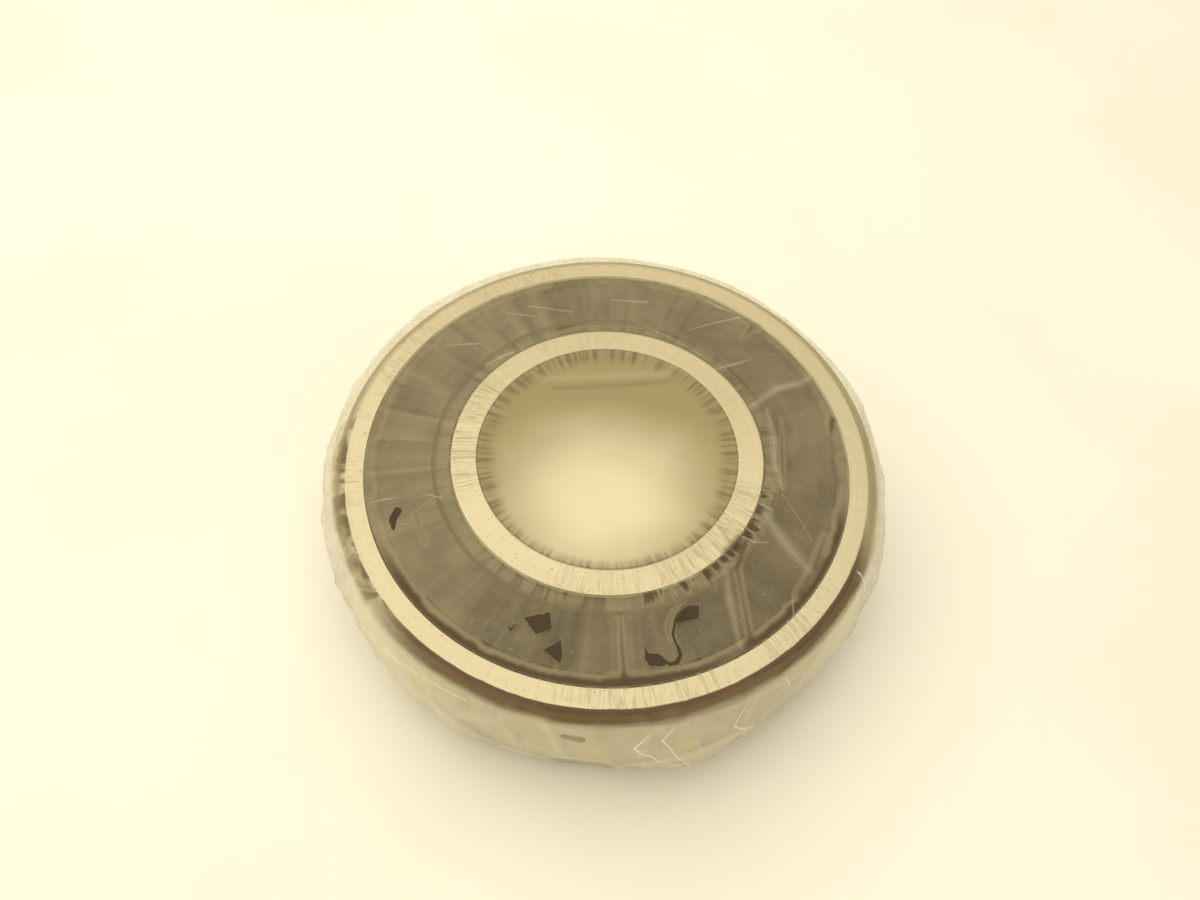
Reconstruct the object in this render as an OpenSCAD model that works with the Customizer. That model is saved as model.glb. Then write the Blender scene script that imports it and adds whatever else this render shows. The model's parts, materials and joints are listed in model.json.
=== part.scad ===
// Single-row angular contact ball bearing with a rubber seal on each side.
// The axis of rotation is Z and the origin is the middle of the bore.

/* [Boundary sizes] */
// Diameter of the bore that takes the shaft
bore_d = 35; // [26:0.5:43]
// Diameter of the outer ring's seat in the housing
outer_d = 80; // [73:0.5:110]
// Width of both rings along the axis
width = 21; // [17.5:0.1:34]
// Radius of the rounded corners at the bore and at the outside
corner_r = 1.85; // [0.6:0.05:2.2]
// Chamfer on the edge of each ring face next to the seal
edge_break = 0.25; // [0.1:0.05:0.4]

/* [Balls and raceways] */
// Diameter of each ball
ball_d = 12.7; // [10:0.1:13.4]
// Number of balls
ball_count = 12; // [6:1:12]
// Angle between the load line and the plane of the balls, in degrees
contact_angle = 40; // [15:1:45]
// Raceway radius as a share of the ball diameter
conformity = 0.52; // [0.515:0.005:0.54]
// Height of the low shoulder that keeps each ball in its raceway
low_shoulder = 0.85; // [0.5:0.05:1.1]

/* [Cage] */
// Radial thickness of the cage
cage_wall = 3.6; // [2.6:0.1:4.4]

/* [Seals] */
// Depth of the seal's front below the ring faces
seal_recess = 0.3; // [0.15:0.05:0.5]
// Thickness of the rubber in front of the steel core
rubber_t = 0.6; // [0.4:0.05:0.8]
// Thickness of the steel core
core_t = 0.5; // [0.3:0.05:0.6]
// Radial width of the shelf between the raceway shoulder and the seal's mouth
mouth_step = 1.05; // [0.8:0.05:1.4]
// Radial depth of the snap groove behind the mouth
groove_depth = 0.8; // [0.4:0.05:1]
// Thickness of the ring's lip in front of the snap groove
groove_lip = 0.65; // [0.4:0.05:0.8]
// Axial width of the snap groove
groove_w = 1.5; // [1:0.05:1.6]
// Radial width of the lowered band at the rim of the seal
band_w = 1.7; // [1:0.1:2.4]
// Radial width of the sealing lip inside the ridge
lip_w = 2.05; // [1.4:0.05:2.6]
// Width of the moulded ridge that rings the lip
ridge_w = 0.5; // [0.3:0.05:0.7]
// Height of that ridge above the seal's front
ridge_h = 0.12; // [0.05:0.01:0.14]

/* [Clearances] */
// Gap between a ball and each raceway on the load line
race_gap = 0.05; // [0.04:0.01:0.1]
// Gap between a ball and its pocket
pocket_gap = 0.2; // [0.1:0.05:0.3]
// Radial gap between the cage and the high shoulders
guide_gap = 0.6; // [0.3:0.05:0.9]
// Axial gap behind each seal to the cage and to the inner ring's high shoulder
end_gap = 0.5; // [0.3:0.05:0.7]
// Gap between the sealing lip and the inner ring
lip_gap = 0.08; // [0.05:0.01:0.2]
// Gap around the seal's bead in its snap groove
bead_gap = 0.05; // [0.02:0.01:0.1]
// Gap between the grease behind a seal and the pieces that turn beside it
grease_gap = 0.12; // [0.08:0.01:0.2]

/* [Hidden] */
$fn = 96;
half_w = width / 2;
bore_r = bore_d / 2;
outer_r = outer_d / 2;
pitch_r = (bore_r + outer_r) / 2;
ball_r = ball_d / 2;

// The raceways: each centre is drawn back from the ball's centre along the load line.
race_r = conformity * ball_d;
race_back = race_r - ball_r - race_gap;
race_back_r = race_back * cos(contact_angle);
race_back_z = race_back * sin(contact_angle);

// The cage fills the height between the seals, less the gap that holds the grease.
seal_t = rubber_t + core_t;
seal_back_z = half_w - seal_recess - seal_t;
cage_half_w = seal_back_z - end_gap;
grease_t = end_gap - grease_gap;
cage_in_r = pitch_r - cage_wall / 2;
cage_out_r = pitch_r + cage_wall / 2;
pocket_r = ball_r + pocket_gap;

// The rings' shoulders: the high ones carry the load and the low ones keep the balls in.
inner_high_r = cage_in_r - guide_gap;
outer_high_r = cage_out_r + guide_gap;
inner_low_r = pitch_r - ball_r + low_shoulder;
outer_low_r = pitch_r + ball_r - low_shoulder;
mouth_r = outer_low_r + mouth_step;
groove_r = mouth_r + groove_depth;
shelf_z = half_w - groove_lip - groove_w;

// The seals, measured from the same shoulders.
seal_front_z = half_w - seal_recess;
core_front_z = seal_front_z - rubber_t;
band_r = mouth_r - band_w;
band_z = half_w - groove_lip - bead_gap;
bead_r = groove_r - bead_gap;
bead_taper = groove_depth / 2;
lip_r = inner_low_r + lip_gap;
ridge_r = inner_low_r + lip_w;
lip_drop = rubber_t / 2;
slope_w = 0.15;
core_in_r = ridge_r + ridge_w;
core_out_r = band_r - slope_w;
flange_in_r = core_out_r - core_t;
flange_z = shelf_z + bead_gap;

function ball_name(i) = str("ball_", i < 10 ? "0" : "", i);

// The first ball stands half a pitch from the X axis.
function ball_angle(i) = 360 * (i - 0.5) / ball_count;

ball_nodes = [for (i = [1:ball_count]) ball_name(i)];

// What a rounded corner leaves out: a square block less a circle.
// The ring lies on the sides that sx and sy point to from its corner at (x, y).
module corner_waste(x, y, sx, sy) {
    translate([x, y])
        mirror([sx < 0 ? 1 : 0, 0])
            mirror([0, sy < 0 ? 1 : 0])
                difference() {
                    translate([-1, -1])
                        square(corner_r + 1);
                    translate([corner_r, corner_r])
                        circle(corner_r);
                }
}

// Section of the outer ring. Its high shoulder is on the +Z side.
module outer_section() {
    difference() {
        polygon([
            [outer_r, -half_w],
            [outer_r, half_w],
            [mouth_r + edge_break, half_w],
            [mouth_r, half_w - edge_break],
            [mouth_r, half_w - groove_lip],
            [groove_r, half_w - groove_lip],
            [groove_r, shelf_z],
            [outer_high_r, shelf_z],
            [outer_high_r, 0],
            [outer_low_r, 0],
            [outer_low_r, -shelf_z],
            [groove_r, -shelf_z],
            [groove_r, groove_lip - half_w],
            [mouth_r, groove_lip - half_w],
            [mouth_r, edge_break - half_w],
            [mouth_r + edge_break, -half_w]
        ]);
        corner_waste(outer_r, half_w, -1, -1);
        corner_waste(outer_r, -half_w, -1, 1);
        translate([pitch_r - race_back_r, -race_back_z])
            circle(race_r);
    }
}

// Section of the inner ring. Its high shoulder is on the -Z side.
module inner_section() {
    difference() {
        polygon([
            [bore_r, -half_w],
            [inner_low_r - edge_break, -half_w],
            [inner_low_r, edge_break - half_w],
            [inner_low_r, -cage_half_w],
            [inner_high_r, -cage_half_w],
            [inner_high_r, 0],
            [inner_low_r, 0],
            [inner_low_r, half_w - edge_break],
            [inner_low_r - edge_break, half_w],
            [bore_r, half_w]
        ]);
        corner_waste(bore_r, half_w, 1, -1);
        corner_waste(bore_r, -half_w, 1, 1);
        translate([pitch_r + race_back_r, race_back_z])
            circle(race_r);
    }
}

// Section of the seal's rubber, which wraps the core at its rim and at its lip.
module seal_section() {
    polygon([
        [lip_r, seal_back_z],
        [lip_r, core_front_z],
        [ridge_r - slope_w, seal_front_z - lip_drop],
        [ridge_r, seal_front_z + ridge_h],
        [ridge_r + ridge_w - slope_w, seal_front_z + ridge_h],
        [ridge_r + ridge_w, seal_front_z],
        [band_r - slope_w, seal_front_z],
        [band_r, band_z],
        [bead_r - bead_taper, band_z],
        [bead_r, band_z - bead_taper],
        [bead_r, shelf_z],
        [core_out_r, shelf_z],
        [core_out_r, core_front_z],
        [core_in_r, core_front_z],
        [core_in_r, seal_back_z]
    ]);
}

// Section of the seal's steel core: a washer with its rim bent inwards.
module core_section() {
    polygon([
        [core_in_r, core_front_z],
        [core_out_r, core_front_z],
        [core_out_r, flange_z],
        [flange_in_r, flange_z],
        [flange_in_r, seal_back_z],
        [core_in_r, seal_back_z]
    ]);
}

// Section of the grease that lies on the back of a seal, sloped at its edges.
module grease_section() {
    polygon([
        [lip_r + grease_gap, seal_back_z],
        [flange_in_r - grease_gap, seal_back_z],
        [flange_in_r - grease_gap - grease_t, seal_back_z - grease_t],
        [lip_r + grease_gap + grease_t, seal_back_z - grease_t]
    ]);
}

// Turns a piece modelled for the top side over to the bottom side.
module to_bottom() {
    mirror([0, 0, 1])
        children();
}

module outer_ring() {
    color([0.84, 0.8, 0.68])
        rotate_extrude()
            outer_section();
}

module inner_ring() {
    color([0.86, 0.81, 0.66])
        rotate_extrude()
            inner_section();
}

module cage() {
    color([0.78, 0.72, 0.55])
        difference() {
            rotate_extrude()
                translate([cage_in_r, -cage_half_w])
                    square([cage_wall, 2 * cage_half_w]);
            for (i = [1:ball_count])
                rotate([0, 90, ball_angle(i)])
                    cylinder(r = pocket_r, h = outer_r);
        }
}

module ball(i) {
    color([0.8, 0.8, 0.82])
        rotate([0, 0, ball_angle(i)])
            translate([pitch_r, 0, 0])
                sphere(ball_r);
}

module seal() {
    color([0.3, 0.27, 0.2])
        rotate_extrude()
            seal_section();
}

module seal_core() {
    color([0.6, 0.6, 0.6])
        rotate_extrude()
            core_section();
}

module grease() {
    color([0.85, 0.72, 0.4])
        rotate_extrude()
            grease_section();
}

outer_ring();
inner_ring();
cage();
for (i = [1:ball_count])
    ball(i);
seal();  // seal_top
seal_core();  // seal_core_top
grease();  // grease_top
to_bottom() seal();  // seal_bottom
to_bottom() seal_core();  // seal_core_bottom
to_bottom() grease();  // grease_bottom
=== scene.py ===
"""A sealed angular contact bearing in its clear packing film, dressed and lit for a product picture.

Lengths are in metres. The frame is the bearing's own: the origin is the middle of the bore and +Z is its
axis.
"""
import json
import logging
import math
from dataclasses import dataclass
from enum import Enum
from typing import Any, Union

import bmesh
import bpy
from mathutils import Matrix, Vector, noise


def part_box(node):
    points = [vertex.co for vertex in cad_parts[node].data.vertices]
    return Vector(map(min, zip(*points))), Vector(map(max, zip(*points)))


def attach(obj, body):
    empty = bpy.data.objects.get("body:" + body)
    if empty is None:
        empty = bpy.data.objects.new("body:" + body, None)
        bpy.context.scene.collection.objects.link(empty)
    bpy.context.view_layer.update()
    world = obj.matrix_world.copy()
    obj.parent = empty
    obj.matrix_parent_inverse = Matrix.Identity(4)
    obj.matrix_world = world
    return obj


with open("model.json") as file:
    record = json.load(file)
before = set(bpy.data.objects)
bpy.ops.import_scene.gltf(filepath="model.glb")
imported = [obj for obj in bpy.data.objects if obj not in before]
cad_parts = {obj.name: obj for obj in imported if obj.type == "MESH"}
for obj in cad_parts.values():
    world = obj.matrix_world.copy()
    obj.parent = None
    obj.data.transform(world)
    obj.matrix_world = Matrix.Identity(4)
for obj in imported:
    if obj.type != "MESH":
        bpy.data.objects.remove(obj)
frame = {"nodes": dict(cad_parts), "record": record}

log = logging.getLogger("bearing")
MM = 0.001
Colour = tuple[float, float, float]
Socket = bpy.types.NodeSocket
Number = Union[float, "Value"]


class Value:
    """A number inside a shader. Maths written on it adds the Math nodes."""

    def __init__(self, shader: "Shader", socket: Socket) -> None:
        """Wraps an output socket.

        Args:
            shader: The shader that the socket belongs to.
            socket: The output that carries the number.
        """
        self.shader = shader
        self.socket = socket

    def __add__(self, other: Number) -> "Value":
        """Returns the sum."""
        return self.shader.math("ADD", self, other)

    def __radd__(self, other: Number) -> "Value":
        """Returns the sum."""
        return self.shader.math("ADD", other, self)

    def __sub__(self, other: Number) -> "Value":
        """Returns the difference."""
        return self.shader.math("SUBTRACT", self, other)

    def __rsub__(self, other: Number) -> "Value":
        """Returns the difference."""
        return self.shader.math("SUBTRACT", other, self)

    def __mul__(self, other: Number) -> "Value":
        """Returns the product."""
        return self.shader.math("MULTIPLY", self, other)

    def __rmul__(self, other: Number) -> "Value":
        """Returns the product."""
        return self.shader.math("MULTIPLY", other, self)

    def __truediv__(self, other: Number) -> "Value":
        """Returns the quotient."""
        return self.shader.math("DIVIDE", self, other)

    def __pow__(self, other: Number) -> "Value":
        """Returns the power."""
        return self.shader.math("POWER", self, other)

    def __abs__(self) -> "Value":
        """Returns the size without the sign."""
        return self.shader.math("ABSOLUTE", self)

    def least(self, other: Number) -> "Value":
        """Returns the smaller of the two."""
        return self.shader.math("MINIMUM", self, other)

    def most(self, other: Number) -> "Value":
        """Returns the larger of the two."""
        return self.shader.math("MAXIMUM", self, other)

    def step(self, low: float, high: float) -> "Value":
        """Fades smoothly between two limits.

        Args:
            low: Where the result is 0.
            high: Where the result is 1; it may be below low.

        Returns:
            A number from 0 to 1.
        """
        limits = {"Value": self, "From Min": min(low, high), "From Max": max(low, high)}
        faded = self.shader.node("MapRange", {"interpolation_type": "SMOOTHSTEP"}, limits)
        share = Value(self.shader, faded.outputs["Result"])
        return share if low < high else 1 - share


class Shader:
    """The node tree of one material."""

    def __init__(self, name: str) -> None:
        """Makes an empty material.

        Args:
            name: The material's name.
        """
        self.material = bpy.data.materials.new(name)
        self.material.use_nodes = True
        self.tree = self.material.node_tree
        self.tree.nodes.clear()

    def node(
        self, kind: str, settings: dict[str, Any] | None = None, inputs: dict[str | int, Any] | None = None
    ) -> bpy.types.Node:
        """Adds one node.

        Args:
            kind: The node's type without the ShaderNode in front.
            settings: Its properties.
            inputs: A value, a Value or an output socket for each named input.

        Returns:
            The new node.
        """
        made = self.tree.nodes.new("ShaderNode" + kind)
        for key, value in (settings or {}).items():
            setattr(made, key, value)
        for key, value in (inputs or {}).items():
            self.feed(made.inputs[key], value)
        return made

    def feed(self, socket: Socket, value: Any) -> None:
        """Gives an input its value or its link.

        Args:
            socket: The input.
            value: A number, a tuple, a Value or an output socket.
        """
        if isinstance(value, Value):
            self.tree.links.new(value.socket, socket)
        elif isinstance(value, Socket):
            self.tree.links.new(value, socket)
        elif isinstance(value, tuple) and socket.type == "RGBA":
            socket.default_value = (*value, 1.0)
        else:
            socket.default_value = value

    def math(self, operation: str, *values: Number) -> Value:
        """Adds a Math node.

        Args:
            operation: What it works out.
            values: Its numbers.

        Returns:
            The result.
        """
        made = self.node("Math", {"operation": operation}, dict(enumerate(values)))
        return Value(self, made.outputs[0])

    def reckon(self, operation: str, inputs: dict[str | int, Any]) -> bpy.types.Node:
        """Adds a Vector Math node."""
        return self.node("VectorMath", {"operation": operation}, inputs)

    def marks(self, plane: Socket, drawn: tuple["Mark", ...], ragged: Number = 0.0) -> Value:
        """Draws several marks of one kind.

        Args:
            plane: The place, in millimetres.
            drawn: The marks.
            ragged: How far their edges are pushed in or out, in millimetres.

        Returns:
            1 inside a mark and 0 outside.
        """
        total = None
        for mark in drawn:
            one = (mark.gap(self, plane) + ragged).step(mark.soft, -mark.soft)
            total = one if total is None else total.most(one)
        return total

    def vector(self, x: Number, y: Number, z: Number) -> Socket:
        """Joins three numbers to a vector."""
        return self.node("CombineXYZ", None, {0: x, 1: y, 2: z}).outputs[0]

    def noise(
        self, place: Socket, scale: float, detail: float = 2.0, twist: float = 0.0
    ) -> Value:
        """Adds a noise pattern.

        Args:
            place: The coordinates that it reads.
            scale: How many times it repeats in a unit of them.
            detail: How many finer layers it has.
            twist: How far it is distorted.

        Returns:
            A number round 0.5.
        """
        inputs = {"Vector": place, "Scale": scale, "Detail": detail, "Distortion": twist}
        return Value(self, self.node("TexNoise", None, inputs).outputs["Fac"])

    def blend(self, share: Number, first: Any, second: Any) -> Socket:
        """Mixes two colours.

        Args:
            share: How much of the second there is.
            first: A colour or a colour output.
            second: Another.

        Returns:
            The mixed colour's output.
        """
        made = self.node("Mix", {"data_type": "RGBA"}, {0: share, 6: first, 7: second})
        return made.outputs[2]

    def bump(self, height: Value, distance: float, strength: float = 1.0) -> Socket:
        """Turns a height into a bumped normal.

        Args:
            height: The height, in shares of the distance.
            distance: How high 1 is, in metres.
            strength: How much of it shows.

        Returns:
            The normal's output.
        """
        inputs = {"Height": height, "Distance": distance, "Strength": strength}
        return self.node("Bump", None, inputs).outputs[0]

    def surface(self, inputs: dict[str, Any]) -> bpy.types.Material:
        """Ends the tree in one Principled surface.

        Args:
            inputs: The surface's inputs.

        Returns:
            The finished material.
        """
        skin = self.node("BsdfPrincipled", None, inputs)
        self.node("OutputMaterial", None, {"Surface": skin.outputs[0]})
        return self.material


class Place:
    """Where a point of the surface is, round the bearing's axis and along it."""

    def __init__(self, shader: Shader) -> None:
        """Reads the object coordinates.

        Args:
            shader: The shader to read them in.
        """
        self.shader = shader
        self.point = shader.node("TexCoord").outputs["Object"]
        split = shader.node("SeparateXYZ", None, {0: self.point})
        self.x, self.y, self.z = (Value(shader, output) for output in split.outputs)
        self.radius = (self.x * self.x + self.y * self.y) ** 0.5

    def lathe(self, round_scale: float, across_scale: float) -> Socket:
        """Makes coordinates that change slowly round the axis and fast across it.

        Args:
            round_scale: How many units there are in a radian round the axis.
            across_scale: How many units there are in a metre along the section.

        Returns:
            The vector's output.
        """
        reach = self.radius / round_scale
        return self.shader.vector(self.x / reach, self.y / reach, (self.radius + self.z) * across_scale)

    def spokes(self, round_scale: float, along_scale: float) -> Socket:
        """Makes coordinates that change fast round the axis and slowly outwards.

        Args:
            round_scale: How many units there are in a radian round the axis.
            along_scale: How many units there are in a metre outwards.

        Returns:
            The vector's output.
        """
        reach = self.radius / round_scale
        return self.shader.vector(self.x / reach, self.y / reach, (self.radius - self.z) * along_scale)

    def around(self, angle: float, narrow: float, wide: float) -> Value:
        """Fades out to each side of a direction.

        Args:
            angle: The direction round the axis, in degrees.
            narrow: How far to each side the result is still 1, in degrees.
            wide: How far to each side it reaches 0, in degrees.

        Returns:
            A number from 0 to 1.
        """
        turn = math.radians(angle)
        cosine = (self.x * math.cos(turn) + self.y * math.sin(turn)) / self.radius
        return cosine.step(math.cos(math.radians(wide)), math.cos(math.radians(narrow)))

    def seen_from_above(self) -> Socket:
        """Returns the point's x and y in millimetres."""
        return self.shader.vector(self.x * 1000.0, self.y * 1000.0, 0.0)

    def unrolled(self, radius: float) -> Socket:
        """Lays a cylinder out flat.

        Args:
            radius: The cylinder's radius in millimetres.

        Returns:
            The arc from the X axis and the height, in millimetres.
        """
        return self.shader.vector(self.shader.math("ARCTAN2", self.y, self.x) * radius, self.z * 1000.0, 0.0)


@dataclass(frozen=True)
class Stroke:
    """A mark drawn through points, each with its two coordinates and the half width there, in millimetres."""

    points: tuple[Colour, ...]
    soft: float = 0.06

    def gap(self, shader: Shader, plane: Socket) -> Value:
        """Measures how far a place is outside the mark.

        Args:
            shader: The shader to work in.
            plane: The place, in millimetres.

        Returns:
            The distance in millimetres, below 0 inside the mark.
        """
        nearest = None
        for start, end in zip(self.points, self.points[1:]):
            first, along = Vector((*start[:2], 0)), Vector((end[0] - start[0], end[1] - start[1], 0))
            off = shader.reckon("SUBTRACT", {0: plane, 1: tuple(first)}).outputs["Vector"]
            whole = shader.reckon("DOT_PRODUCT", {0: off, 1: tuple(along / along.length_squared)})
            share = Value(shader, whole.outputs["Value"]).most(0.0).least(1.0)
            foot = shader.reckon("SCALE", {0: tuple(along), "Scale": share}).outputs["Vector"]
            gap = Value(shader, shader.reckon("DISTANCE", {0: off, 1: foot}).outputs["Value"])
            gap = gap - (share * (end[2] - start[2]) + start[2])
            nearest = gap if nearest is None else nearest.least(gap)
        return nearest


@dataclass(frozen=True)
class Patch:
    """A filled mark with straight sides, its corners anticlockwise and in millimetres."""

    corners: tuple[tuple[float, float], ...]
    soft: float = 0.06

    def gap(self, shader: Shader, plane: Socket) -> Value:
        """Measures how far a place is outside the mark.

        Args:
            shader: The shader to work in.
            plane: The place, in millimetres.

        Returns:
            The distance in millimetres, below 0 inside the mark.
        """
        farthest = None
        for start, end in zip(self.corners, self.corners[1:] + self.corners[:1]):
            along = Vector((end[0] - start[0], end[1] - start[1]))
            outward = Vector((along.y, -along.x)).normalized()
            reach = shader.reckon("DOT_PRODUCT", {0: plane, 1: (*outward, 0.0)}).outputs["Value"]
            gap = Value(shader, reach) - outward.dot(Vector(start))
            farthest = gap if farthest is None else farthest.most(gap)
        return farthest


Mark = Union[Stroke, Patch]


@dataclass(frozen=True)
class GroundSteel:
    """Bearing steel with the fine round marks that a grinding wheel leaves."""

    colour: Colour = (0.555, 0.498, 0.352)
    shade: Colour = (0.510, 0.452, 0.310)
    speck: Colour = (0.30, 0.25, 0.18)
    roughness: float = 0.46

    def material(self) -> bpy.types.Material:
        """Returns the finished material."""
        shader = Shader("ground_steel")
        place = Place(shader)
        fine = shader.noise(place.lathe(1.2, 9000.0), 1.0, 3.0)
        broad = shader.noise(place.lathe(0.8, 1400.0), 1.0, 2.0)
        cloud = shader.noise(place.point, 90.0, 3.0)
        specks = shader.noise(place.point, 2600.0, 1.0).step(0.68, 0.74)
        worn = (fine * 0.5 + broad * 0.5) * 0.6 + cloud * 0.4
        tint = shader.blend(worn.step(0.38, 0.62), self.shade, self.colour)
        return shader.surface({
            "Base Color": shader.blend(specks * 0.35, tint, self.speck),
            "Metallic": 1.0,
            "Roughness": self.roughness + (fine - 0.5) * 0.16 + (cloud - 0.5) * 0.14 + specks * 0.2,
            "Normal": shader.bump(fine * 0.6 + broad * 0.4, 1.6e-6),
        })


@dataclass(frozen=True)
class SealRubber:
    """Moulded nitrile rubber, with the satin face of its mould."""

    colour: Colour = (0.070, 0.047, 0.023)
    bloom: Colour = (0.105, 0.075, 0.040)
    dust: Colour = (0.35, 0.31, 0.24)
    roughness: float = 0.55

    def material(self) -> bpy.types.Material:
        """Returns the finished material."""
        shader = Shader("seal_rubber")
        place = Place(shader)
        grain = shader.noise(place.point, 2600.0, 3.0, 0.5)
        flow = shader.noise(place.lathe(2.0, 700.0), 1.0, 3.0, 0.4)
        cloud = shader.noise(place.point, 110.0, 4.0, 0.3)
        dust = shader.noise(place.point, 1900.0, 1.0).step(0.7, 0.76)
        tint = shader.blend((flow * 0.5 + cloud * 0.5).step(0.35, 0.7), self.colour, self.bloom)
        return shader.surface({
            "Base Color": shader.blend(dust * 0.3, tint, self.dust),
            "Roughness": self.roughness + (grain - 0.5) * 0.2 + (cloud - 0.5) * 0.15,
            "Specular IOR Level": 0.3,
            "Normal": shader.bump(grain * 0.2 + flow * 0.8, 1.5e-6),
        })


@dataclass(frozen=True)
class LappedSteel:
    """The mirror finish of a lapped ball."""

    colour: Colour = (0.80, 0.80, 0.79)
    oiled: Colour = (0.70, 0.68, 0.62)
    roughness: float = 0.07

    def material(self) -> bpy.types.Material:
        """Returns the finished material."""
        shader = Shader("lapped_steel")
        place = Place(shader)
        film = shader.noise(place.point, 260.0, 3.0)
        hair = shader.noise(place.point, 7000.0, 1.0)
        return shader.surface({
            "Base Color": shader.blend(film.step(0.4, 0.65), self.oiled, self.colour),
            "Metallic": 1.0,
            "Roughness": self.roughness + film * 0.05 + hair * 0.03,
            "Normal": shader.bump(hair, 4e-7),
        })


@dataclass(frozen=True)
class Polyamide:
    """Glass-filled polyamide, straw coloured, with short fibres in its skin."""

    colour: Colour = (0.56, 0.48, 0.30)
    fibre: Colour = (0.70, 0.63, 0.46)
    cloudy: Colour = (0.42, 0.34, 0.19)
    roughness: float = 0.48

    def material(self) -> bpy.types.Material:
        """Returns the finished material."""
        shader = Shader("cage_polyamide")
        place = Place(shader)
        strand = shader.noise(place.lathe(40.0, 4200.0), 1.0, 2.0)
        cloud = shader.noise(place.point, 160.0, 3.0)
        grain = shader.noise(place.point, 3600.0, 2.0)
        tint = shader.blend(strand.step(0.52, 0.68) * 0.6, self.colour, self.fibre)
        return shader.surface({
            "Base Color": shader.blend(cloud.step(0.45, 0.75) * 0.4, tint, self.cloudy),
            "Roughness": self.roughness + (grain - 0.5) * 0.25,
            "Normal": shader.bump(grain * 0.5 + strand * 0.5, 5e-6),
        })


@dataclass(frozen=True)
class SheetSteel:
    """Cold-rolled strip, pressed to shape and left bare."""

    colour: Colour = (0.52, 0.51, 0.49)
    stained: Colour = (0.38, 0.34, 0.28)
    roughness: float = 0.38

    def material(self) -> bpy.types.Material:
        """Returns the finished material."""
        shader = Shader("core_steel")
        place = Place(shader)
        rolled = shader.noise(shader.vector(place.x * 120.0, place.y * 5200.0, place.z * 5200.0), 1.0, 3.0)
        stain_and_shade = shader.noise(place.point, 140.0, 4.0, 0.5)
        return shader.surface({
            "Base Color": shader.blend(stain_and_shade.step(0.45, 0.7), self.colour, self.stained),
            "Metallic": 1.0,
            "Roughness": self.roughness + (rolled - 0.5) * 0.3,
            "Normal": shader.bump(rolled, 2e-6),
        })


@dataclass(frozen=True)
class Grease:
    """Amber lithium grease, wet and lumpy."""

    colour: Colour = (0.60, 0.42, 0.14)
    pale: Colour = (0.74, 0.60, 0.30)
    roughness: float = 0.22

    def material(self) -> bpy.types.Material:
        """Returns the finished material."""
        shader = Shader("grease")
        place = Place(shader)
        lumps = shader.noise(place.point, 900.0, 3.0, 0.6)
        cloud = shader.noise(place.point, 240.0, 2.0)
        return shader.surface({
            "Base Color": shader.blend(cloud.step(0.4, 0.65), self.colour, self.pale),
            "Roughness": self.roughness + lumps * 0.15,
            "Normal": shader.bump(lumps, 6e-5),
        })


@dataclass(frozen=True)
class FilmZones:
    """The radii at which the film meets, leaves or spans something."""

    bore: float
    inner: float
    band: float
    outer: float
    rim: float
    edge: float


class Layers:
    """The film's colour and how much it hides, built up one layer over another."""

    def __init__(self, shader: Shader, colour: Any, alpha: Number) -> None:
        """Starts with the bare film.

        Args:
            shader: The shader to work in.
            colour: The film's own colour.
            alpha: How much the bare film hides, from 0 to 1.
        """
        self.shader = shader
        self.colour = colour
        self.alpha = alpha

    def add(self, share: Value, colour: Any, alpha: Number) -> None:
        """Lays one more layer on.

        Args:
            share: Where the layer is, from 0 to 1.
            colour: Its colour.
            alpha: How much the film hides where it lies.
        """
        self.colour = self.shader.blend(share, self.colour, colour)
        self.alpha = self.alpha + (alpha - self.alpha) * share


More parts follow.
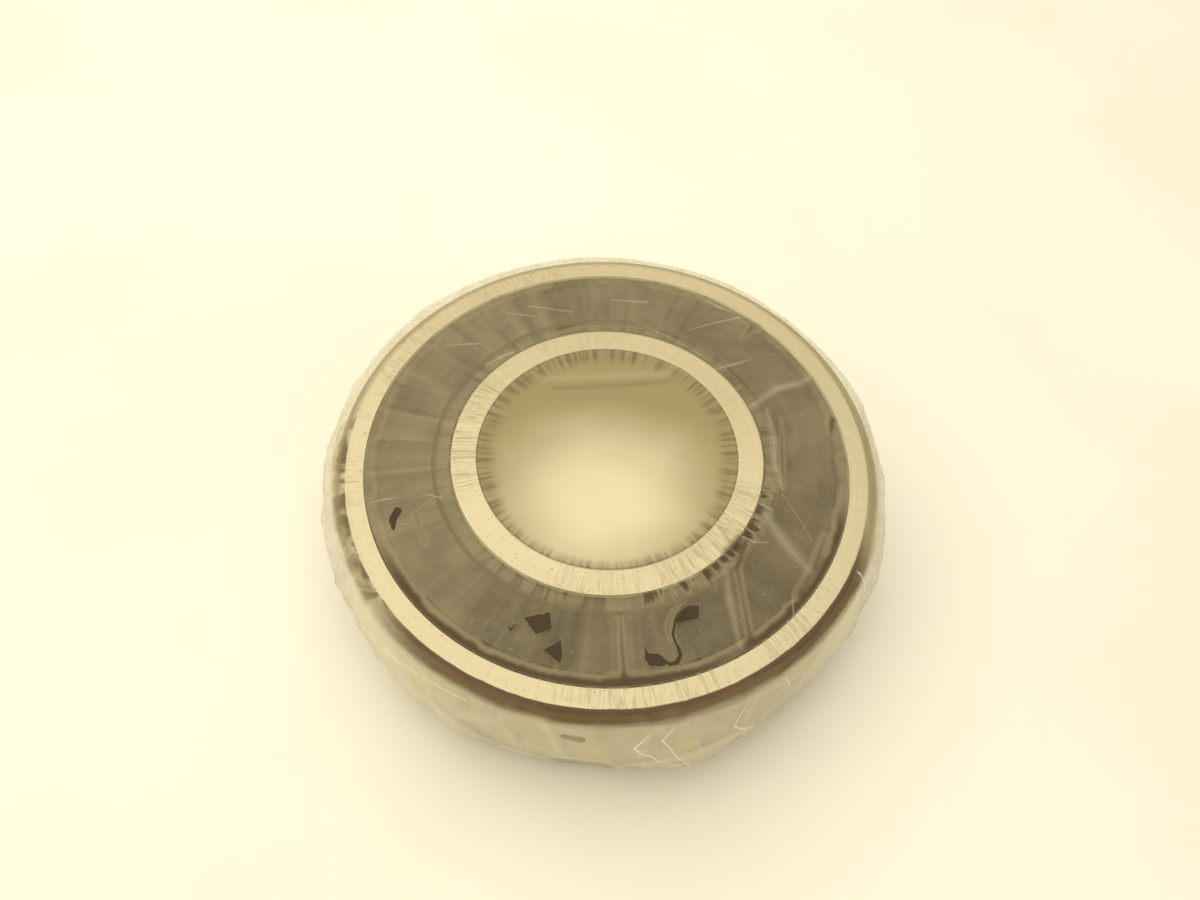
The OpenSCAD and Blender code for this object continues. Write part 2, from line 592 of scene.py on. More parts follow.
@dataclass(frozen=True)
class ClearFilm:
    """Thin packing film: clear where it clings, hazy where it stands off and milky where it is loose."""

    haze: Colour = (0.76, 0.68, 0.40)
    milk: Colour = (0.93, 0.88, 0.73)
    # Painted light: the bright middle of the film over the bore and a painted highlight across its back.
    glow: Colour = (0.98, 0.91, 0.62)
    # Painted shade colour: the dark edges of the painted light over the bore, the painted shade on the back
    # of the ring faces and the painted shadows in the side's folds.
    shade_tan: Colour = (0.46, 0.37, 0.185)
    # brown is the painted dark reflection in the outer ring's rounded corner and a painted shade line across
    # the back of the bore; it also draws the dark line along the seal's step.
    brown: Colour = (0.165, 0.112, 0.055)
    # The darkest brown: painted shadows in the film's folds, painted shade at the bore's edge and in the
    # outer ring's rounded corner, and the dark band at the seal's outer rim and the dark tucks near the inner
    # ring.
    stain_and_shade: Colour = (0.095, 0.058, 0.026)
    blot: Colour = (0.060, 0.038, 0.018)
    wrinkle: Colour = (0.33, 0.255, 0.14)
    # The light and dark stripes of the tucks in the painted shaded band at the bore's edge.
    tuck_light: Colour = (0.33, 0.25, 0.13)
    tuck_dark: Colour = (0.19, 0.135, 0.07)
    spot_tint: Colour = (0.34, 0.30, 0.19)
    glint: Colour = (1.0, 0.98, 0.90)
    roughness: float = 0.30
    sheen: float = 0.18
    side_radius: float = 42.0
    blots: tuple[Mark, ...] = (
        Stroke(((-29.2, -11.4, 0.62), (-29.6, -12.8, 0.62), (-29.3, -14.3, 0.22))),
        Patch(((-10.3, -26.5), (-8.6, -28.8), (-6.4, -28.0), (-6.8, -25.6))),
        Stroke(((-12.1, -27.7, 0.12), (-11.8, -28.3, 0.24), (-11.1, -27.3, 0.08))),
        Patch(((-7.5, -30.8), (-5.1, -32.6), (-4.8, -31.5), (-5.2, -29.3))),
        Patch(((9.3, -26.3), (9.7, -26.7), (12.7, -25.8), (12.9, -23.8), (11.3, -24.0), (9.8, -25.2))),
        Stroke((
            (9.6, -26.3, 0.26), (9.2, -28.2, 0.18), (9.8, -29.6, 0.24), (10.2, -30.9, 0.32),
            (9.7, -31.8, 0.34), (8.8, -32.1, 0.28),
        )),
        Patch(((5.5, -31.4), (6.1, -32.4), (7.7, -32.5), (8.9, -31.9), (7.4, -30.7), (6.1, -30.7))),
        Stroke(((5.6, -29.7, 0.08), (5.9, -31.3, 0.36))),
    )
    shadows: tuple[Mark, ...] = (
        Stroke(((19.8, -13.6, 0.5), (18.1, -18.3, 0.45), (18.6, -22.7, 0.4), (19.3, -28.6, 0.5)), 0.5),
        Stroke(((2.4, -25.7, 0.2), (2.6, -29.6, 0.35), (3.1, -34.9, 0.5)), 0.45),
        Stroke(((25.2, -6.3, 0.03), (27.2, -10.2, 0.08), (28.8, -13.8, 0.03)), 0.12),
        Stroke(((11.0, -23.0, 0.15), (9.3, -25.0, 0.25), (8.5, -27.1, 0.3), (8.9, -29.1, 0.1)), 0.4),
        Stroke(((26.3, 7.0, 0.15), (25.9, 0.3, 0.3), (25.6, -5.2, 0.2)), 0.45),
        Stroke(((34.1, 7.0, 0.5), (33.5, 4.3, 0.3)), 0.5),
        Stroke(((22.9, 24.9, 0.5), (21.4, 22.7, 0.3)), 0.6),
        Stroke(((30.6, -13.0, 0.4), (28.8, -17.8, 0.7), (26.2, -21.8, 0.5)), 0.8),
        Stroke(((18.8, -13.8, 0.7), (17.2, -16.0, 0.9)), 0.6),
        Stroke(((-9.3, 22.0, 0.1), (-3.0, 24.6, 0.2), (6.0, 24.2, 0.1)), 0.4),
        Stroke(((-24.4, -16.5, 0.1), (-26.6, -12.0, 0.3), (-24.0, -9.0, 0.1)), 0.7),
    )
    glints: tuple[Mark, ...] = (
        Stroke(((16.5, 15.9, 0.05), (19.4, 17.0, 0.22), (22.5, 18.4, 0.03)), 0.25),
        Stroke(((21.8, 8.9, 0.10), (26.2, 12.7, 0.50), (29.6, 13.6, 0.35), (32.6, 16.0, 0.10)), 0.80),
        Stroke(((24.2, 8.5, 0.10), (24.9, 2.8, 0.40), (24.6, -1.0, 0.3), (25.4, -5.6, 0.05)), 0.70),
        Stroke(((12.5, 24.0, 0.05), (16.9, 25.7, 0.12), (21.0, 27.1, 0.20)), 0.20),
        Stroke(((3.5, 25.7, 0.03), (9.1, 22.5, 0.10), (16.5, 17.3, 0.03)), 0.12),
        Stroke(((14.4, 31.8, 0.05), (17.7, 29.4, 0.20), (20.4, 28.2, 0.05)), 0.20),
        Stroke(((-33.0, -10.3, 0.05), (-31.1, -9.7, 0.18), (-28.9, -9.2, 0.03)), 0.15),
        Stroke(((-26.1, -8.5, 0.05), (-23.4, -9.1, 0.16)), 0.15),
        Stroke(((-26.5, 18.8, 0.03), (-21.3, 19.5, 0.14)), 0.20),
        Stroke(((-13.8, 28.0, 0.08), (-6.6, 27.0, 0.12)), 0.25),
        Stroke(((-19.6, 15.2, 0.10), (-16.6, 17.4, 0.16), (-13.7, 18.8, 0.05)), 0.18),
        Stroke(((-18.1, 26.5, 0.03), (-12.6, 25.8, 0.12)), 0.20),
        Stroke(((22.1, -8.2, 0.12), (23.8, -9.2, 0.05)), 0.12),
        Stroke(((19.2, -13.6, 0.14), (20.8, -14.3, 0.12), (23.1, -14.2, 0.03)), 0.15),
        Stroke(((22.5, -9.6, 0.20), (24.6, -13.6, 0.60), (27.9, -18.3, 0.20)), 1.0),
        Stroke(((0.0, 30.1, 0.05), (5.8, 29.9, 0.20)), 0.25),
        Stroke(((16.6, -18.0, 0.12), (16.9, -23.0, 0.4), (17.9, -29.5, 0.10)), 0.70),
        Stroke(((19.1, -0.9, 0.06), (20.8, -1.3, 0.10), (22.8, -2.3, 0.03)), 0.10),
        Stroke(((25.2, -24.8, 0.08), (25.3, -21.6, 0.03)), 0.12),
    )
    side_glints: tuple[Mark, ...] = (
        Stroke(((-59.3, 8.0, 0.04), (-61.2, 3.9, 0.14)), 0.12),
        Stroke(((-56.2, 8.4, 0.05), (-57.6, 5.8, 0.12), (-53.0, -3.0, 0.04)), 0.14),
        Stroke(((-61.2, 3.9, 0.16), (-56.0, -0.7, 0.04)), 0.12),
        Stroke(((-45.6, 7.8, 0.04), (-47.6, 3.8, 0.12), (-44.0, -1.0, 0.04)), 0.14),
        Stroke(((-39.5, 8.6, 0.04), (-38.2, 4.6, 0.12)), 0.12),
        Stroke(((-40.5, -5.4, 0.05), (-34.0, -2.8, 0.16), (-28.8, 0.5, 0.04)), 0.12),
        Stroke(((-20.4, 10.4, 0.10), (-21.3, 8.2, 0.05)), 0.10),
        Stroke(((-98.0, 6.0, 0.05), (-84.0, 8.0, 0.10)), 0.25),
    )
    side_shadows: tuple[Mark, ...] = (
        Stroke(((-63.0, 1.2, 0.05), (-55.5, 0.2, 0.40), (-50.0, -1.2, 0.10)), 0.6),
        Stroke(((-47.0, -3.0, 0.10), (-38.0, -7.0, 0.50), (-28.0, -3.0, 0.10)), 0.8),
        Stroke(((-88.0, 9.0, 0.05), (-85.0, 4.0, 0.14), (-78.0, 1.6, 0.05)), 0.20),
        Stroke(((-112.0, 2.0, 0.05), (-100.0, -2.0, 0.20), (-88.0, -4.0, 0.05)), 0.35),
    )
    spot: tuple[Mark, ...] = (Stroke(((-70.3, 6.6, 0.55), (-68.3, 6.0, 0.75)), 0.12),)

    def add_seal_marks(self, layers: Layers, place: Place, zones: FilmZones) -> None:
        """Lays on the pleats, folds and stuck spots over the seal.

        Args:
            layers: The film so far.
            place: The surface point.
            zones: The film's zones.
        """
        shader, radius = layers.shader, place.radius
        smear = shader.noise(place.spokes(7.0, 90.0), 1.0, 3.0, 0.8)
        over_seal = radius.step(zones.inner - 0.05 * MM, zones.inner + 0.05 * MM)
        over_seal = over_seal * radius.step(zones.outer + 0.05 * MM, zones.outer - 0.05 * MM)
        ridge = abs(radius - zones.inner - 2.3 * MM).step(0.45 * MM, 0.15 * MM)
        layers.add(ridge * 0.55 * place.around(200, 110, 150), self.brown, 0.40)
        rim = (radius + (smear - 0.5) * 1.8 * MM).step(zones.band - 0.3 * MM, zones.band + 1.2 * MM)
        rim = rim * over_seal
        heavy = place.around(-104, 34, 60).most(place.around(-38, 16, 34)).most(smear.step(0.42, 0.66) * 0.6)
        layers.add(rim * (heavy * 0.82 + 0.18), self.stain_and_shade, 0.84)
        tucks = shader.noise(place.spokes(24.0, 110.0), 1.0, 1.0, 0.3).step(0.42, 0.56)
        reach = (radius + (smear - 0.5) * 2.4 * MM).step(zones.inner + 3.0 * MM, zones.inner + 0.9 * MM)
        tucked = place.around(-46, 26, 50).most(place.around(-90, 20, 60) * 0.42).most(0.18)
        tucked = tucked * reach * over_seal
        layers.add(tucks * tucked, self.stain_and_shade, 0.86)
        layers.add((1 - tucks) * tucked * 0.4, self.haze, 0.42)

    def add_ring_marks(self, layers: Layers, place: Place, zones: FilmZones) -> None:
        """Lays on the fine wrinkles over both ring faces and the painted shade towards their back.

        Args:
            layers: The film so far.
            place: The surface point.
            zones: The film's zones.
        """
        shader, radius = layers.shader, place.radius
        pleats = shader.noise(place.spokes(34.0, 90.0), 1.0, 0.4)
        fine = shader.noise(place.spokes(70.0, 200.0), 1.0, 0.4)
        on_inner = radius.step(zones.bore, zones.bore + 0.1 * MM)
        on_inner = on_inner * radius.step(zones.inner, zones.inner - 0.1 * MM)
        on_outer = radius.step(zones.outer, zones.outer + 0.1 * MM)
        on_outer = on_outer * radius.step(zones.rim + 0.3 * MM, zones.rim)
        drawn_in = place.around(172, 24, 38).most(place.around(-42, 20, 34))
        drawn_in = drawn_in.most(place.around(-92, 10, 20) * 0.6)
        drawn_in = drawn_in.most(place.around(105, 14, 26) * 0.35).most(0.08)
        bunch = shader.noise(place.spokes(3.2, 20.0), 1.0, 2.0, 0.6).step(0.40, 0.62) * 0.85 + 0.15
        drawn_out = (place.around(150, 46, 66) * 0.6 + place.around(-72, 24, 44) * 0.6 + 0.10) * bunch
        lines = abs(pleats - 0.5).step(0.060, 0.010) * on_inner * drawn_in
        lines = lines.most(abs(fine - 0.5).step(0.06, 0.01) * on_inner * drawn_in * 0.5)
        lines = lines.most(abs(fine - 0.52).step(0.07, 0.01) * on_outer * drawn_out)
        layers.add(lines * 0.55, self.wrinkle, 0.75)
        pale = abs(pleats - 0.40).step(0.05, 0.01) * (on_inner * drawn_in * 0.4 + on_outer * bunch * 0.2)
        layers.add(pale, self.milk, 0.5)
        # Painted shade: both ring faces are made darker towards the back.
        layers.add((on_inner + on_outer) * place.around(80, 40, 100) * 0.26, self.shade_tan, 0.9)

    def add_bore_marks(self, layers: Layers, place: Place, zones: FilmZones) -> None:
        """Lays on the painted light and shade across the bore and the tucks at its edge, in a painted shaded
        band.

        Args:
            layers: The film so far.
            place: The surface point.
            zones: The film's zones.
        """
        shader, radius = layers.shader, place.radius
        in_bore = radius.step(zones.bore + 0.05 * MM, zones.bore - 0.05 * MM)
        cloud = shader.noise(place.point, 70.0, 2.0, 0.4)
        drift = shader.noise(shader.vector(place.x * 20.0, place.y * 75.0, place.z), 1.0, 2.0)
        # Painted light and shade over the bore: bright low in the middle, darker towards the back and sides.
        lowered = place.y + 7.5 * MM
        away = (place.x * place.x * 0.8 + lowered * lowered) ** 0.5
        away = away + (cloud - 0.5) * 5 * MM + (drift - 0.5) * 4 * MM
        glow = shader.blend(away.step(19 * MM, 3 * MM), self.shade_tan, self.glow)
        layers.add(in_bore, glow, 0.70)
        above = place.seen_from_above()
        # A painted highlight and a painted shade line across the back of the bore.
        light = shader.marks(above, (Stroke(((-10.2, 12.9, 0.1), (0.6, 13.8, 0.3), (10.8, 15.0, 0.2)), 1.3),))
        dark = shader.marks(above, (Stroke(((-8.5, 11.3, 0.1), (0.6, 12.3, 0.2), (9.4, 13.4, 0.1)), 0.8),))
        layers.add(dark * in_bore * 0.35, self.brown, 0.6)
        layers.add(light * in_bore * 0.22, self.glow, 0.8)
        # The tucks at the bore's edge, as stripes in a painted shaded band.
        tucks = shader.noise(place.spokes(24.0, 110.0), 1.0, 2.0)
        depth = 2.1 * MM - place.around(-90, 25, 75) * 1.5 * MM + (tucks - 0.5) * 1.4 * MM
        edge = (radius + depth - zones.bore).step(-1.3 * MM, 1.0 * MM) * in_bore
        tuck_colour = shader.blend(tucks.step(0.34, 0.66), self.tuck_light, self.tuck_dark)
        layers.add(edge * (0.62 + tucks.step(0.36, 0.64) * 0.25), tuck_colour, 0.85)
        # A painted shade line just inside the bore's edge.
        rim_line = radius.step(zones.bore - 0.35 * MM, zones.bore - 0.1 * MM) * in_bore
        layers.add(rim_line * 0.35, self.stain_and_shade, 0.8)

    def add_side_marks(self, layers: Layers, place: Place, zones: FilmZones) -> None:
        """Lays on the painted dark reflection in the outer ring's rounded corner and the creases of the loose
        side, with painted shadows and painted glints along them.

        Args:
            layers: The film so far.
            place: The surface point.
            zones: The film's zones.
        """
        shader, radius = layers.shader, place.radius
        cloud = shader.noise(place.point, 260.0, 3.0, 0.8)
        drape = shader.noise(place.spokes(9.0, 60.0), 1.0, 3.0, 1.2)
        streaks = shader.noise(place.spokes(5.0, 700.0), 1.0, 3.0, 0.5)
        depth = abs(place.z)
        on_side = radius.step(zones.rim + 0.4 * MM, zones.rim + 1.9 * MM)
        thin = place.around(180, 20, 42).most(place.around(12, 28, 50)).most(place.around(95, 60, 80))
        thin = thin.most(place.around(-85, 20, 50) * 0.35)
        loose = (0.79 - thin * 0.56 + (drape - 0.5) * 0.5) * (place.z.step(-10 * MM, 0.5 * MM) * 0.5 + 0.5)
        layers.add(on_side * loose, shader.blend(drape.step(0.40, 0.66) * 0.7, self.milk, self.haze), 0.95)
        # Painted dark reflection in the outer ring's rounded corner, heaviest at the front and mottled at the
        # left, darkest nearest the face's edge.
        along = radius - zones.rim + zones.edge - depth
        along = along + (streaks - 0.5) * 1.5 * MM + (cloud - 0.5) * 1.0 * MM
        front = place.around(-78, 46, 70)
        left = place.around(-146, 26, 52) * cloud.step(0.36, 0.60)
        share = front.most(left * 0.8).most(place.around(-14, 24, 44) * 0.35).most(0.18)
        past = (radius + (cloud - 0.5) * 0.3 * MM).step(zones.rim - 0.1 * MM, zones.rim + 0.1 * MM)
        layers.add(past * along.step(4.2 * MM, 1.6 * MM) * share, self.brown, 0.93)
        layers.add(past * along.step(1.1 * MM, 0.3 * MM) * (share * 0.8), self.stain_and_shade, 0.85)
        plane = place.unrolled(self.side_radius)
        upper = place.z.step(-11.5 * MM, -10 * MM) * radius.step(zones.rim, zones.rim + 0.4 * MM)
        layers.add(shader.marks(plane, self.side_shadows) * upper * 0.55, self.shade_tan, 0.8)
        layers.add(shader.marks(plane, self.spot) * upper, self.spot_tint, 0.75)
        layers.add(shader.marks(plane, self.side_glints) * upper * 0.8, self.glint, 0.95)

    def material(self, zones: FilmZones) -> bpy.types.Material:
        """Makes the material.

        Args:
            zones: The radii at which the film's look changes.

        Returns:
            The finished material.
        """
        shader = Shader("clear_film")
        place = Place(shader)
        radius = place.radius
        crease = Value(shader, shader.node("Attribute", {"attribute_name": "crease"}).outputs["Fac"])
        cloud = shader.noise(place.point, 120.0, 3.0, 0.6)
        swirl = shader.noise(place.point, 60.0, 4.0, 2.4)
        on_rings = radius.step(zones.outer - 0.1 * MM, zones.outer + 0.05 * MM)
        on_rings = on_rings.most(radius.step(zones.inner + 0.05 * MM, zones.inner - 0.05 * MM))
        fan = shader.noise(place.spokes(14.0, 34.0), 1.0, 5.0, 0.5)
        lit_side = place.around(200, 50, 140) * 0.065 - place.around(-78, 20, 70) * 0.09
        smooth = 1 - place.around(0, 45, 90) * 0.7
        bare = 0.155 + lit_side + (cloud - 0.5) * 0.16 + (swirl - 0.5) * 0.22 + (fan - 0.5) * smooth * 0.30
        layers = Layers(shader, self.haze, bare)
        layers.add(on_rings, self.haze, 0.06)
        self.add_seal_marks(layers, place, zones)
        self.add_ring_marks(layers, place, zones)
        self.add_bore_marks(layers, place, zones)
        above, on_top = place.seen_from_above(), place.z.step(0.0, 1 * MM)
        flat = on_top * radius.step(zones.rim + 0.4 * MM, zones.rim)
        layers.add(shader.marks(above, self.shadows) * flat * 0.85, self.stain_and_shade, 0.74)
        layers.add(shader.marks(above, self.glints) * flat * 0.30, self.milk, 0.75)
        ragged = (shader.noise(place.point, 1400.0, 3.0) - 0.5) * 0.34
        blots = shader.marks(above, self.blots, ragged) * flat
        layers.add(blots, self.blot, 0.93)
        self.add_side_marks(layers, place, zones)
        layers.add(crease * 0.30, self.milk, 0.9)
        ripple = shader.noise(place.spokes(60.0, 300.0), 1.0, 3.0)
        return shader.surface({
            "Base Color": layers.colour,
            "Roughness": self.roughness + (cloud - 0.5) * 0.2 + blots * 0.2,
            "Specular IOR Level": self.sheen,
            "Alpha": layers.alpha.most(0.015).least(0.97),
            "Normal": shader.bump(ripple * 0.6 + swirl * 0.4, 8e-5, 0.7),
        })


@dataclass(frozen=True)
class TableTop:
    """A pale painted bench with faint mottling."""

    colour: Colour = (0.93, 0.91, 0.82)
    shade: Colour = (0.90, 0.87, 0.77)

    def material(self) -> bpy.types.Material:
        """Returns the finished material."""
        shader = Shader("table_top")
        place = Place(shader)
        cloud = shader.noise(place.point, 14.0, 4.0)
        grain = shader.noise(place.point, 900.0, 2.0)
        return shader.surface({
            "Base Color": shader.blend(cloud.step(0.4, 0.7), self.colour, self.shade),
            "Roughness": 0.5 + (grain - 0.5) * 0.2,
            "Normal": shader.bump(grain, 5e-6),
        })


class Side(Enum):
    """The two faces of the bearing."""

    TOP = "top"
    BOTTOM = "bottom"


def dress(node: str, finish: bpy.types.Material, slot: str) -> None:
    """Gives a carried-over node its finish.

    Args:
        node: The node's name.
        finish: The finish's material.
        slot: The record's slot that the node belongs to.
    """
    piece = frame["nodes"][node]
    piece.data.materials.clear()
    piece.data.materials.append(finish)
    log.info("%s dressed as %s", node, slot)


@dataclass
class Rings:
    """The two hardened rings."""

    names: tuple[str, str] = ("outer_ring", "inner_ring")

    def dress(self) -> None:
        """Finishes both rings alike."""
        steel = GroundSteel().material()
        for name in self.names:
            dress(name, steel, "ring_steel")


@dataclass
class RollingSet:
    """The balls and the cage that keeps them apart."""

    ball_prefix: str = "ball_"
    cage: str = "cage"

    def dress(self) -> None:
        """Finishes the cage and every ball."""
        dress(self.cage, Polyamide().material(), "cage_polyamide")
        steel = LappedSteel().material()
        for name in sorted(frame["nodes"]):
            if name.startswith(self.ball_prefix):
                dress(name, steel, "ball_steel")


@dataclass
class Seals:
    """The rubber seals, their steel cores and the grease behind them."""

    sides: tuple[Side, ...] = (Side.TOP, Side.BOTTOM)

    def dress(self) -> None:
        """Finishes the pieces on both sides."""
        rubber, steel, grease = SealRubber().material(), SheetSteel().material(), Grease().material()
        for side in self.sides:
            dress(f"seal_{side.value}", rubber, "seal_rubber")
            dress(f"seal_core_{side.value}", steel, "core_steel")
            dress(f"grease_{side.value}", grease, "grease")


@dataclass(frozen=True)
class Lobe:
    """A stretch of the film's side that stands out further than the rest, soon or late on its way down."""

    angle: float
    spread: float
    reach: float
    lateness: float = 1.4

    def at(self, angle: float, share: float) -> float:
        """Works out how far this stretch stands out.

        Args:
            angle: The place round the axis, in radians.
            share: The share of the way down the side.

        Returns:
            The extra reach in metres.
        """
        off = (angle - math.radians(self.angle) + math.pi) % math.tau - math.pi
        return self.reach * MM * math.exp(-((off / math.radians(self.spread)) ** 2)) * share ** self.lateness


@dataclass(frozen=True)
class Fold:
    """A long soft fold across the film's top, from one point to another."""

    start: tuple[float, float]
    end: tuple[float, float]
    width: float
    height: float

    def at(self, x: float, y: float) -> float:
        """Works out the fold's height over a point.

        Args:
            x: The point's place, in metres.
            y: The point's place, in metres.

        Returns:
            A share of the fold's height, from 0 to 1.
        """
        ax, ay = self.start[0] * MM, self.start[1] * MM
        bx, by = self.end[0] * MM - ax, self.end[1] * MM - ay
        share = ((x - ax) * bx + (y - ay) * by) / (bx * bx + by * by)
        kept = min(max(share, 0.0), 1.0)
        gap = math.hypot(x - ax - kept * bx, y - ay - kept * by) / (self.width * MM)
        return math.exp(-gap * gap) * (0.35 + 0.65 * math.sin(math.pi * kept))


def steps(count: int) -> list[float]:
    """Returns the shares 1/count, 2/count and so on up to 1."""
    return [i / count for i in range(1, count + 1)]


@dataclass(frozen=True)
class Station:
    """A point of the film's section: its radius, its sag behind the face and its share of the way out."""

    radius: float
    sag: float = 0.0
    share: float = 0.0


@dataclass
class PackingFilm:
    """The film pouch, drawn tight over both faces and gathered round the side, where its two layers meet."""

    body: str = "outer_ring"
    corner: float = 1.85 * MM
    low_shoulder: float = 0.85 * MM
    core_cover: float = 0.15 * MM
    band_width: float = 1.7 * MM
    turns: int = 480
    bore_rows: int = 26
    ring_rows: int = 6
    seal_rows: int = 24
    corner_rows: int = 10
    side_rows: int = 20
    corner_turn: float = math.radians(82)
    stand_off: float = 0.1 * MM
    sag: float = 0.18 * MM
    bore_sag: float = 0.8 * MM
    ease: float = 0.2 * MM
    corner_share: float = 0.2
    loose: float = 1.6 * MM
    seam_low: float = -1.5 * MM
    crumple: float = 0.55 * MM
    flat_side: float = 96 * MM
    lobes: tuple[Lobe, ...] = (
        Lobe(182, 30, 2.0), Lobe(-72, 9, 1.9), Lobe(-12, 18, 0.9), Lobe(-125, 16, 0.8),
        Lobe(168, 24, 1.4, 0.5), Lobe(135, 24, 2.3, 0.35), Lobe(95, 20, 1.7, 0.35), Lobe(60, 14, 1.2, 0.4),
        Lobe(20, 18, 1.7, 0.4), Lobe(-20, 14, 0.8, 0.6),
    )
    folds: tuple[Fold, ...] = (
        Fold((16.5, 15.9), (22.5, 18.4), 0.4, 0.26), Fold((21.8, 8.9), (32.6, 16.0), 0.8, 0.30),
        Fold((12.5, 24.0), (21.0, 27.1), 0.5, 0.24), Fold((24.8, 8.5), (25.2, -4.6), 0.7, 0.26),
        Fold((3.5, 25.7), (16.5, 17.3), 0.4, 0.20), Fold((-33.0, -10.3), (-24.6, -9.0), 0.4, 0.26),
        Fold((-26.5, 18.8), (-21.3, 19.5), 0.5, 0.18), Fold((-13.8, 28.0), (-6.6, 27.0), 0.6, 0.18),
        Fold((25.2, -6.3), (28.8, -13.8), 0.4, 0.24), Fold((19.3, -13.6), (19.0, -28.6), 0.8, 0.30),
        Fold((2.4, -25.7), (3.1, -34.9), 0.6, 0.22), Fold((11.0, -23.0), (8.9, -29.1), 0.5, 0.22),
        Fold((-10.2, 12.8), (13.8, 15.6), 1.2, 0.40),
    )

    def __post_init__(self) -> None:
        """Takes the film's zones from the rings, the balls and the seal core that it lies over."""
        seats = {mount["name"]: mount["dims"].get("r_mm") for mount in frame["record"]["mounts"]}
        shaft_r, self.outer_r = seats["shaft_bore"] * MM, seats["housing_seat"] * MM
        self.face_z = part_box("outer_ring")[1][2]
        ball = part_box("ball_01")
        ball_r = (ball[1][2] - ball[0][2]) / 2
        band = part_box("seal_core_top")[1][0] + self.core_cover
        self.zones = FilmZones(
            bore=shaft_r + self.corner,
            inner=(shaft_r + self.outer_r) / 2 - ball_r + self.low_shoulder,
            band=band,
            outer=band + self.band_width,
            rim=self.outer_r - self.corner,
            edge=self.face_z,
        )

    def section(self) -> list[Station]:
        """Works out the film's section from near the middle of a face out to its seam.

        Returns:
            The section's points, in order.
        """
        zones = self.zones
        rows = []
        for share in steps(self.bore_rows):
            radius = zones.bore * share ** 0.8
            rows.append(Station(radius, self.bore_sag * (1 - (radius / zones.bore) ** 2)))
        rows += [Station(zones.bore + (zones.inner - zones.bore) * share) for share in steps(self.ring_rows)]
        for share in steps(self.seal_rows)[:-1]:
            sag = self.sag * math.sin(math.pi * share) ** 0.5
            rows.append(Station(zones.inner + (zones.outer - zones.inner) * share, sag))
        outer_face = [0.0, *steps(self.ring_rows)]
        rows += [Station(zones.outer + (zones.rim - zones.outer) * share) for share in outer_face]
        for share in steps(self.corner_rows):
            turn = self.corner_turn * share
            reach = self.corner + self.stand_off + self.ease * share
            fall = self.corner + self.stand_off - reach * math.cos(turn)
            rows.append(Station(zones.rim + reach * math.sin(turn), fall, self.corner_share * share))
        last = rows[-1]
        seam_r = self.outer_r + self.loose
        for share in steps(self.side_rows):
            radius = last.radius + (seam_r - last.radius) * math.sin(math.pi / 2 * share)
            rows.append(Station(radius, last.sag, self.corner_share + (1 - self.corner_share) * share))
        return rows

    def crumpled(self, point: Vector, amount: float) -> tuple[float, float]:
        """Works out how the film is creased at a point.

        Args:
            point: The point.
            amount: How loose the film is there, from 0 to 1.

        Returns:
            How far the film is pushed out, in metres, and how sharp its crease is, from 0 to 1.
        """
        stretched = Vector((point.x * 95, point.y * 95, point.z * 60))
        near = noise.voronoi(stretched)[0]
        ridge = max(0.0, 1 - (near[1] - near[0]) / 0.16)
        finer = noise.voronoi(stretched * 2.3)[0]
        thin_ridge = max(0.0, 1 - (finer[1] - finer[0]) / 0.14)
        swell = noise.noise(Vector((point.x * 130, point.y * 130, point.z * 90)))
        push = amount * self.crumple * (0.6 * ridge + 0.25 * thin_ridge + 0.9 * swell)
        return push, amount * (0.7 * ridge ** 2 + 0.35 * thin_ridge ** 2)

    def shaped(self, row: Station, angle: float, side: Side) -> tuple[Vector, float]:
        """Places one point of the film.

        Args:
            row: The section's point.
            angle: The place round the axis, in radians.
            side: The face that the layer covers.

        Returns:
            The point and the sharpness of the crease there.
        """
        up = 1 if side is Side.TOP else -1
        lowered = max(0.0, (row.share - self.corner_share) / (1 - self.corner_share)) ** 1.1
        height = up * (self.face_z + self.stand_off - row.sag) * (1 - lowered) + self.seam_low * lowered
        outward = Vector((math.cos(angle), math.sin(angle), 0))
        radius, crease = row.radius, 0.0
        if row.share > 0:
            radius += sum(lobe.at(angle, row.share) for lobe in self.lobes)
            place = outward * radius + Vector((0, 0, height))
            push, crease = self.crumpled(place, min(row.share * 4, 1.0) * min(1.0, row.share * 3 + 0.15))
            radius += max(push, -0.5 * self.loose * lowered)
        point = outward * radius + Vector((0, 0, height))
        if side is Side.TOP and row.share == 0:
            for fold in self.folds:
                point.z += fold.at(point.x, point.y) * fold.height * MM
        return point, crease

    def build(self) -> bpy.types.Object:
        """Builds the pouch as one closed skin.

        Returns:
            The film's object.
        """
        section = self.section()
        rows = [(row, Side.TOP) for row in section] + [(row, Side.BOTTOM) for row in section[-2::-1]]
        shape = bmesh.new()
        creases = shape.verts.layers.float.new("crease")
        rings = []
        for row, side in rows:
            ring = []
            for turn in range(self.turns):
                point, crease = self.shaped(row, math.tau * turn / self.turns, side)
                vertex = shape.verts.new(point)
                vertex[creases] = crease
                ring.append(vertex)
            rings.append(ring)
        for upper, lower in zip(rings, rings[1:]):
            for i in range(self.turns):
                following = (i + 1) % self.turns
                shape.faces.new((upper[i], lower[i], lower[following], upper[following]))
        middle = self.face_z + self.stand_off - self.bore_sag
        for ring, height in ((rings[0], middle), (rings[-1], -middle)):
            pole = shape.verts.new((0, 0, height))
            for i in range(self.turns):
                shape.faces.new((pole, ring[i], ring[(i + 1) % self.turns]))
        bmesh.ops.recalc_face_normals(shape, faces=shape.faces)
        mesh = bpy.data.meshes.new("packing_film")
        shape.to_mesh(mesh)
        shape.free()
        mesh.shade_smooth()
        film = bpy.data.objects.new("packing_film", mesh)
        bpy.context.scene.collection.objects.link(film)
        mesh.materials.append(ClearFilm().material(self.zones))
        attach(film, self.body)
        side = self.flat_side
        log.info("packing_film built with %d faces", len(mesh.polygons))
        return film


@dataclass(frozen=True)
class Lamp:
    """One soft square light: where it hangs, its side and its power in watts."""

    name: str
    place: Colour
    side: float
    power: float


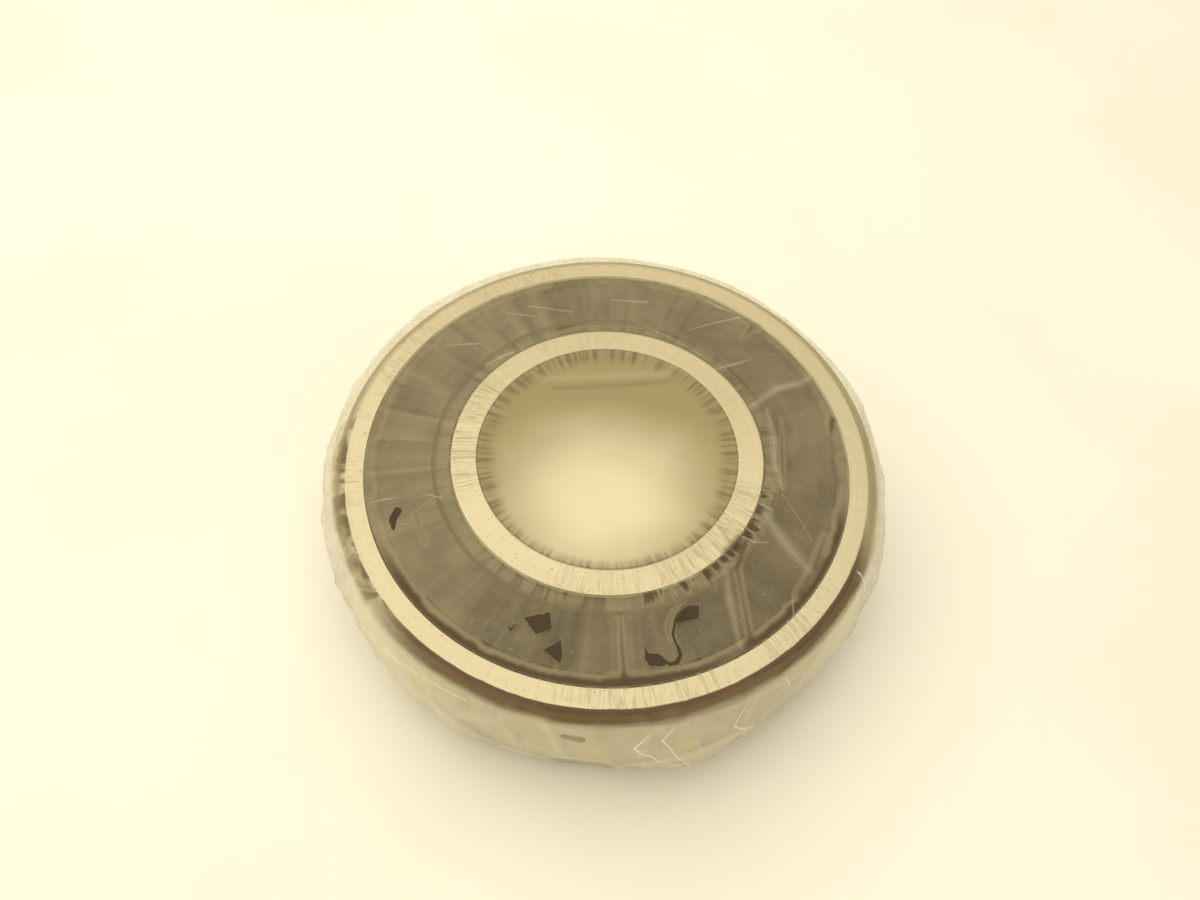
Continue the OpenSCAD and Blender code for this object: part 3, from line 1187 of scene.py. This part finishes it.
@dataclass
class Studio:
    """The floor, the lights and the camera."""

    warm: Colour = (1.0, 0.93, 0.76)
    glow: float = 0.40
    lamps: tuple[Lamp, ...] = (
        Lamp("key", (-0.07, 0.20, 0.47), 0.74, 2.85),
        Lamp("fill", (0.45, -0.45, 0.55), 0.6, 1.2),
        Lamp("side", (-0.52, -0.22, 0.34), 0.5, 1.1),
    )
    floor_side: float = 3.0
    floor_gap: float = 0.3 * MM
    lens: float = 25.4
    elevation: float = 56.8
    distance: float = 125.1 * MM
    aside: float = 1.1 * MM
    roll: float = 2.14

    def build_floor(self) -> None:
        """Lays the floor just under the bearing."""
        low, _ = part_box("outer_ring")
        bpy.ops.mesh.primitive_plane_add(size=self.floor_side, location=(0, 0, low[2] - self.floor_gap))
        floor = bpy.context.active_object
        floor.name = "floor"
        bpy.ops.object.transform_apply(location=True)
        floor.data.materials.append(TableTop().material())

    def build_light(self, lamp: Lamp) -> None:
        """Hangs one light, turned to the middle of the bearing.

        Args:
            lamp: The light.
        """
        data = bpy.data.lights.new(lamp.name, "AREA")
        data.energy = lamp.power
        data.size = lamp.side
        data.color = self.warm
        holder = bpy.data.objects.new(lamp.name, data)
        bpy.context.scene.collection.objects.link(holder)
        holder.location = lamp.place
        holder.rotation_euler = (-Vector(lamp.place)).to_track_quat("-Z", "Y").to_euler()

    def build_lights(self) -> None:
        """Hangs the soft lights and sets the faint light all round."""
        for lamp in self.lamps:
            self.build_light(lamp)
        world = bpy.data.worlds.new("room")
        world.use_nodes = True
        backdrop = world.node_tree.nodes["Background"]
        backdrop.inputs["Color"].default_value = (*self.warm, 1.0)
        backdrop.inputs["Strength"].default_value = self.glow
        bpy.context.scene.world = world
        bpy.context.scene.view_settings.view_transform = "Standard"

    def build_camera(self) -> None:
        """Sets the camera up in front of the bearing, looking down at its top face."""
        _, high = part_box("outer_ring")
        lift = math.radians(self.elevation)
        forward = Vector((0, math.cos(lift), -math.sin(lift)))
        target = Vector((0, 0, high[2]))
        data = bpy.data.cameras.new("camera")
        data.lens = self.lens
        data.clip_start = 0.005
        camera = bpy.data.objects.new("camera", data)
        bpy.context.scene.collection.objects.link(camera)
        place = target - self.distance * forward - Vector((self.aside, 0, 0))
        turn = forward.to_track_quat("-Z", "Y").to_matrix() @ Matrix.Rotation(math.radians(self.roll), 3, "Z")
        camera.matrix_world = Matrix.Translation(place) @ turn.to_4x4()
        bpy.context.scene.camera = camera


def main() -> None:
    """Dresses the bearing and sets the scene round it."""
    logging.basicConfig(level=logging.INFO, format="%(message)s")
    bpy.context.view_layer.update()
    studio = Studio()
    studio.build_camera()
    studio.build_floor()
    studio.build_lights()
    Rings().dress()
    RollingSet().dress()
    Seals().dress()
    PackingFilm().build()


if __name__ == "__main__":
    main()
